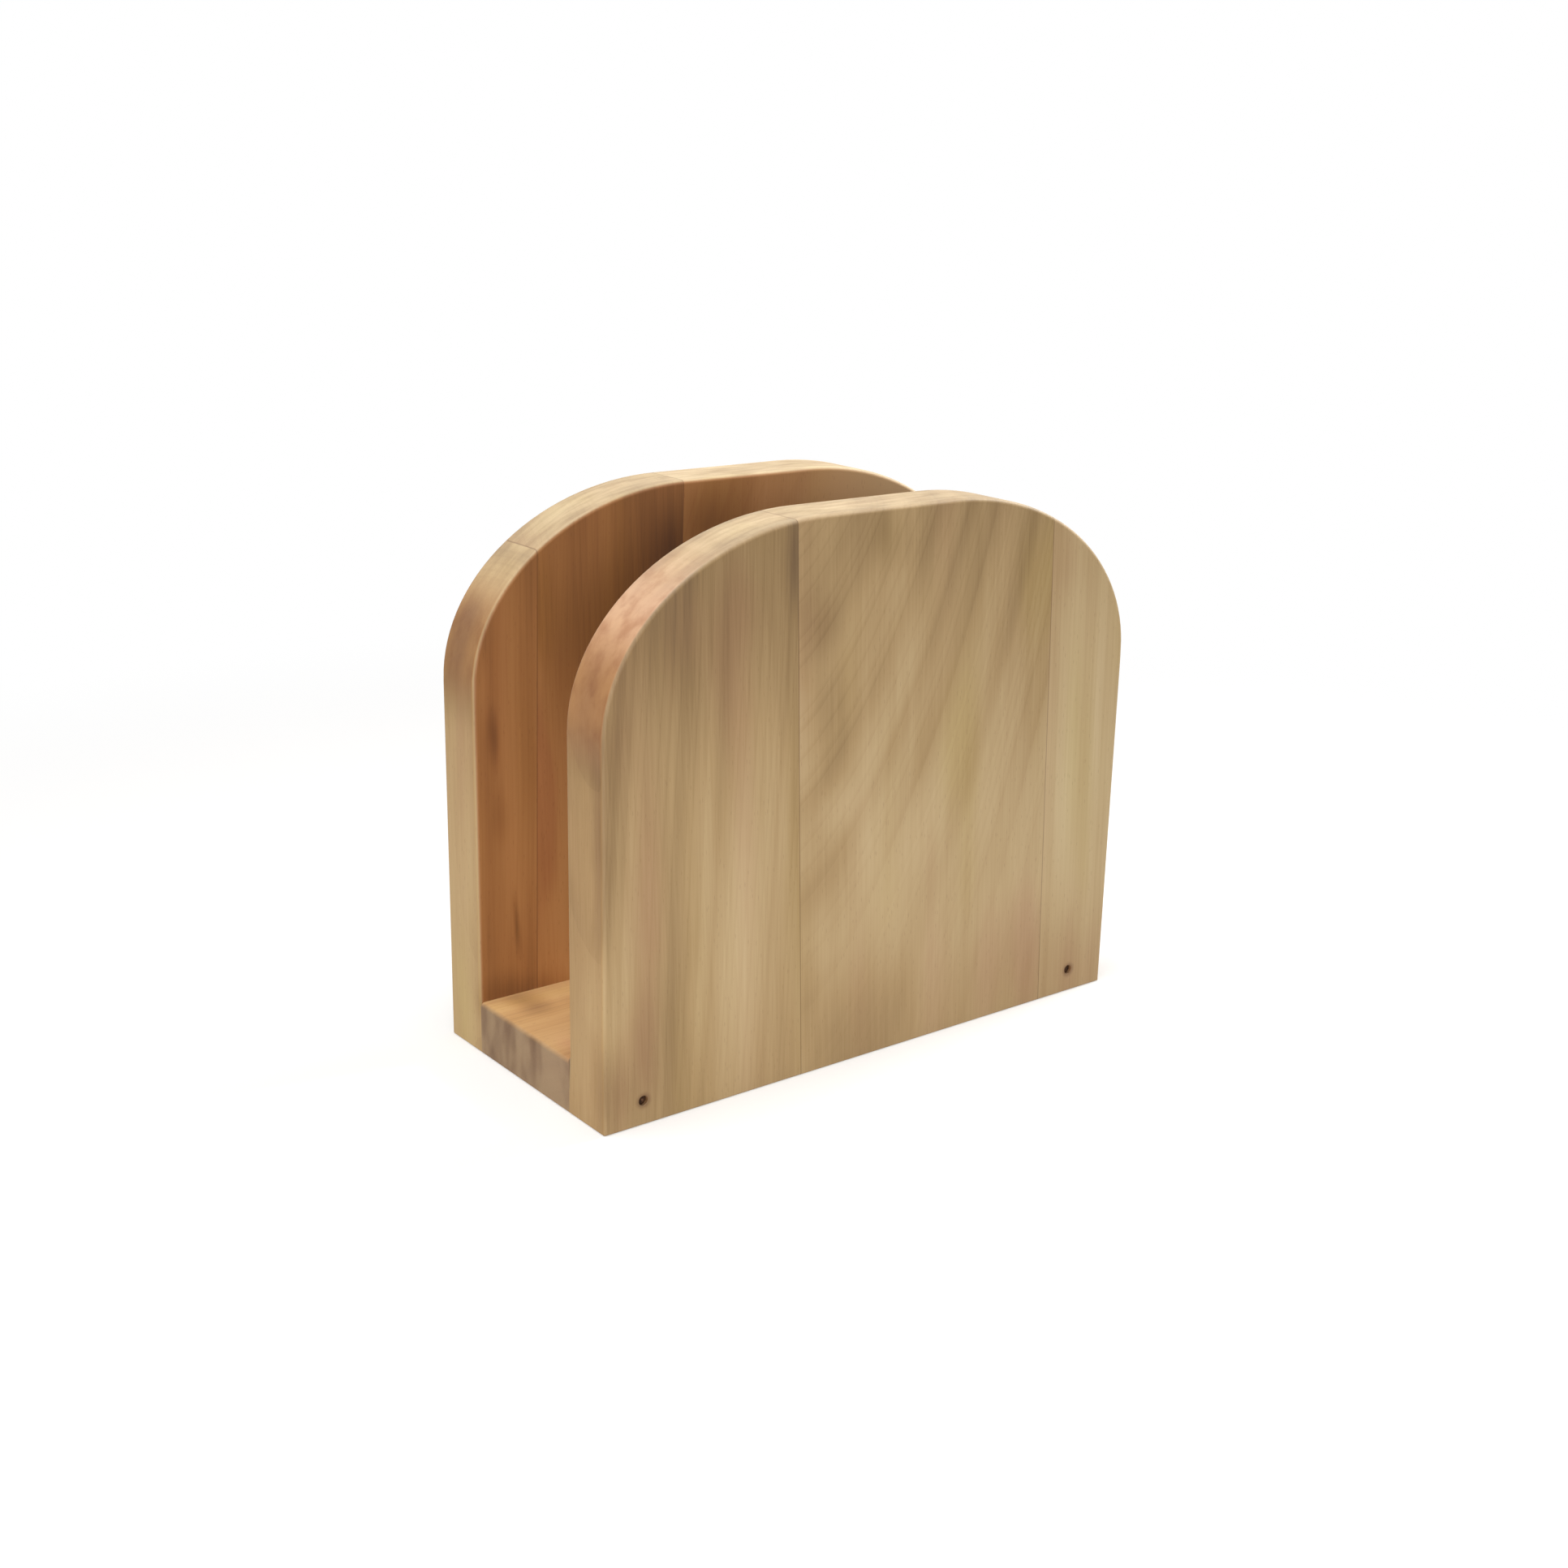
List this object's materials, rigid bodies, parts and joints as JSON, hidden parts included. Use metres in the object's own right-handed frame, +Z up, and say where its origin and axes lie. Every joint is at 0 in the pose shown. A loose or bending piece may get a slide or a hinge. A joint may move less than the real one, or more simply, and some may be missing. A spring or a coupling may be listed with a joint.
{
  "type": "napkin holder",
  "caption": "Upright wooden napkin holder: two arched boards glued up from staves, nailed to a base board, with an open slot between them.",
  "frame": {"origin": "middle of the footprint, on the surface that the holder stands on", "axes": "+Z up, +X along the boards to the right as seen from the front, -Y towards the front"},
  "size_m": [0.15, 0.066, 0.1285],
  "materials": {
    "board_wood": "sanded, thin oil",
    "base_wood": "sanded, thin oil",
    "nail_steel": "dull, darkened"
  },
  "bodies": {
    "root": {"front_left_stave": "board_wood", "front_middle_stave": "board_wood", "front_right_stave": "board_wood", "back_left_stave": "board_wood", "back_middle_stave": "board_wood", "back_right_stave": "board_wood", "base_board": "base_wood", "nail_front_left": "nail_steel", "nail_front_right": "nail_steel", "nail_back_left": "nail_steel", "nail_back_right": "nail_steel"}
  },
  "joints": []
}
